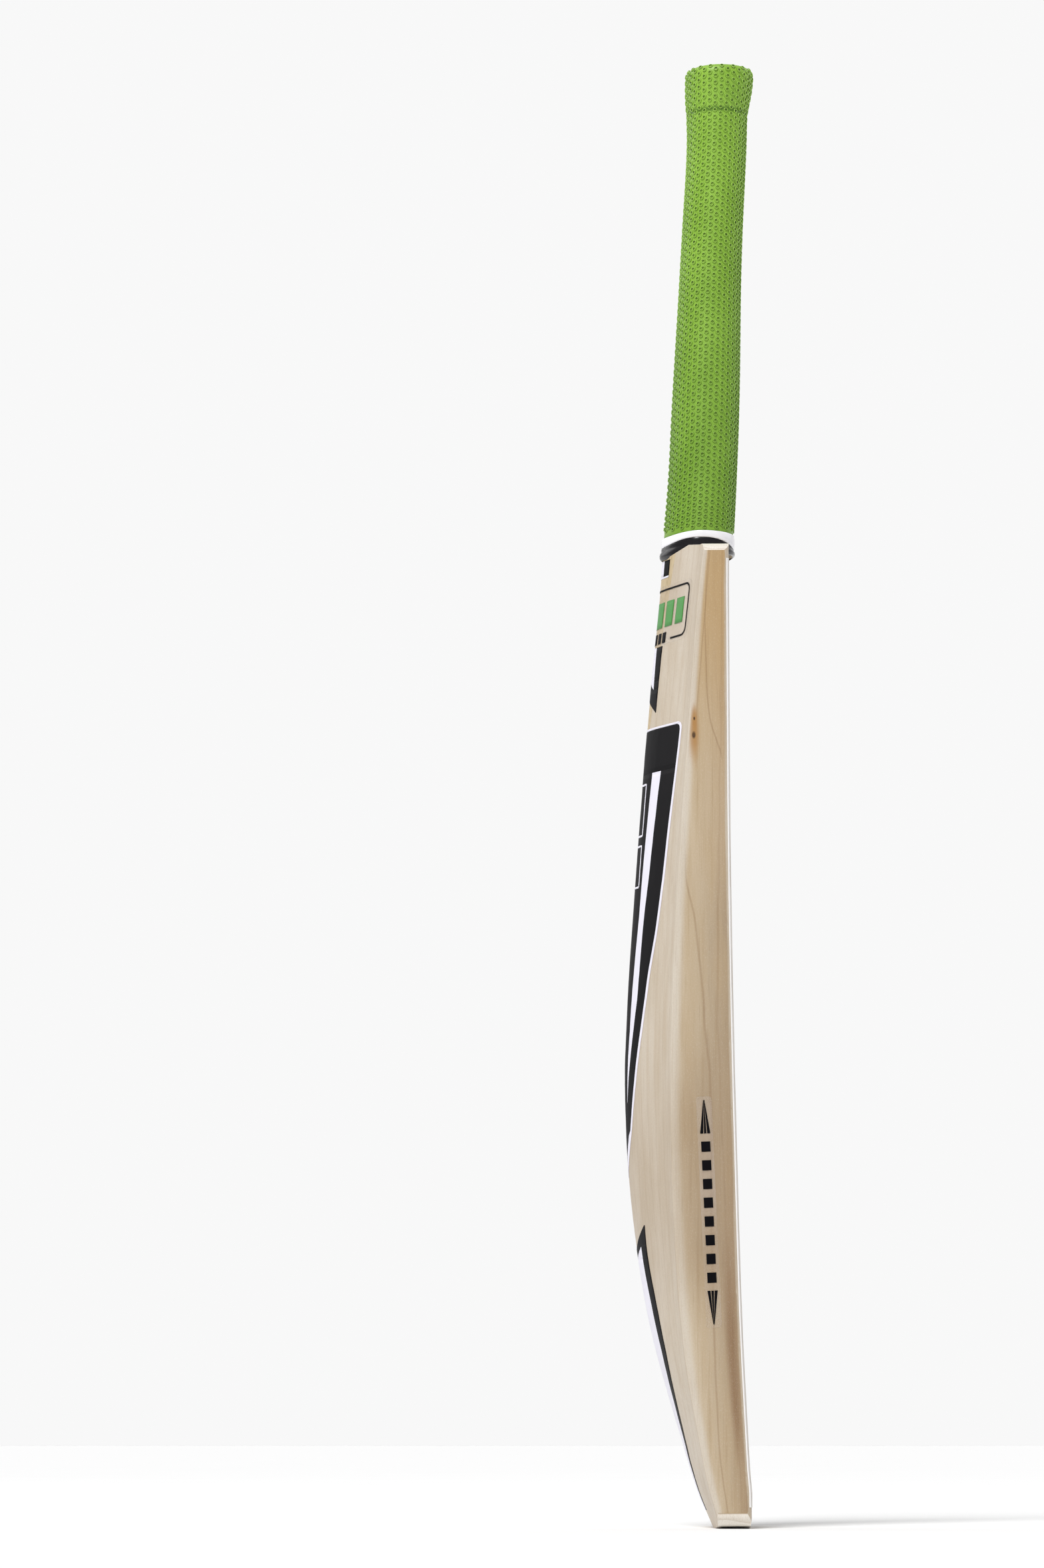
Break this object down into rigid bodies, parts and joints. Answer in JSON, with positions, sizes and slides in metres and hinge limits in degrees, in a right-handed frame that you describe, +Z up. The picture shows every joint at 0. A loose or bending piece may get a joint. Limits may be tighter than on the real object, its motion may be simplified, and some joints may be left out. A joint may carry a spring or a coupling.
{
  "type": "cricket bat",
  "caption": "Full-size cricket bat: bowed willow blade with a ridged back, cane handle spliced in, ringed green rubber grip, taped collar and plain stickers",
  "frame": {"origin": "middle of the flat on the toe, the lowest point of the bat held upright", "axes": "+X across the width of the blade, +Y from the hitting face toward the spine on the back, +Z up the bat to the top of the handle"},
  "size_m": [0.1082, 0.0783, 0.857],
  "materials": {
    "willow": "fine straight grain, satin",
    "cane": "fibrous end grain, matt",
    "spring_rubber": "matt",
    "waxed_twine": "tight waxed winding",
    "grip_rubber": "moulded, soft sheen",
    "white_tape": "gloss",
    "black_tape": "gloss",
    "clear_sheet": "clear, satin, over the wood",
    "clear_film": "clear film over the wood, printed frame",
    "black_sticker": "gloss print with a white keyline"
  },
  "bodies": {
    "root": {"blade": "willow", "cane_front_left": "cane", "cane_front_middle": "cane", "cane_front_right": "cane", "cane_mid_front_left": "cane", "cane_mid_front_middle": "cane", "cane_mid_front_right": "cane", "cane_mid_back_left": "cane", "cane_mid_back_middle": "cane", "cane_mid_back_right": "cane", "cane_back_left": "cane", "cane_back_middle": "cane", "cane_back_right": "cane", "rubber_spring_front": "spring_rubber", "rubber_spring_middle": "spring_rubber", "rubber_spring_back": "spring_rubber", "twine_lower": "waxed_twine", "twine_middle": "waxed_twine", "twine_upper": "waxed_twine", "shoulder_whipping": "waxed_twine", "shoulder_tape": "black_tape", "grip_collar_tape": "white_tape", "grip": "grip_rubber", "face_facing": "clear_sheet", "shoulder_tag_label": "black_sticker", "frame_label": "clear_film", "stripe_label": "black_sticker", "main_back_label": "black_sticker", "toe_back_label": "black_sticker", "edge_label": "clear_film"}
  },
  "joints": []
}
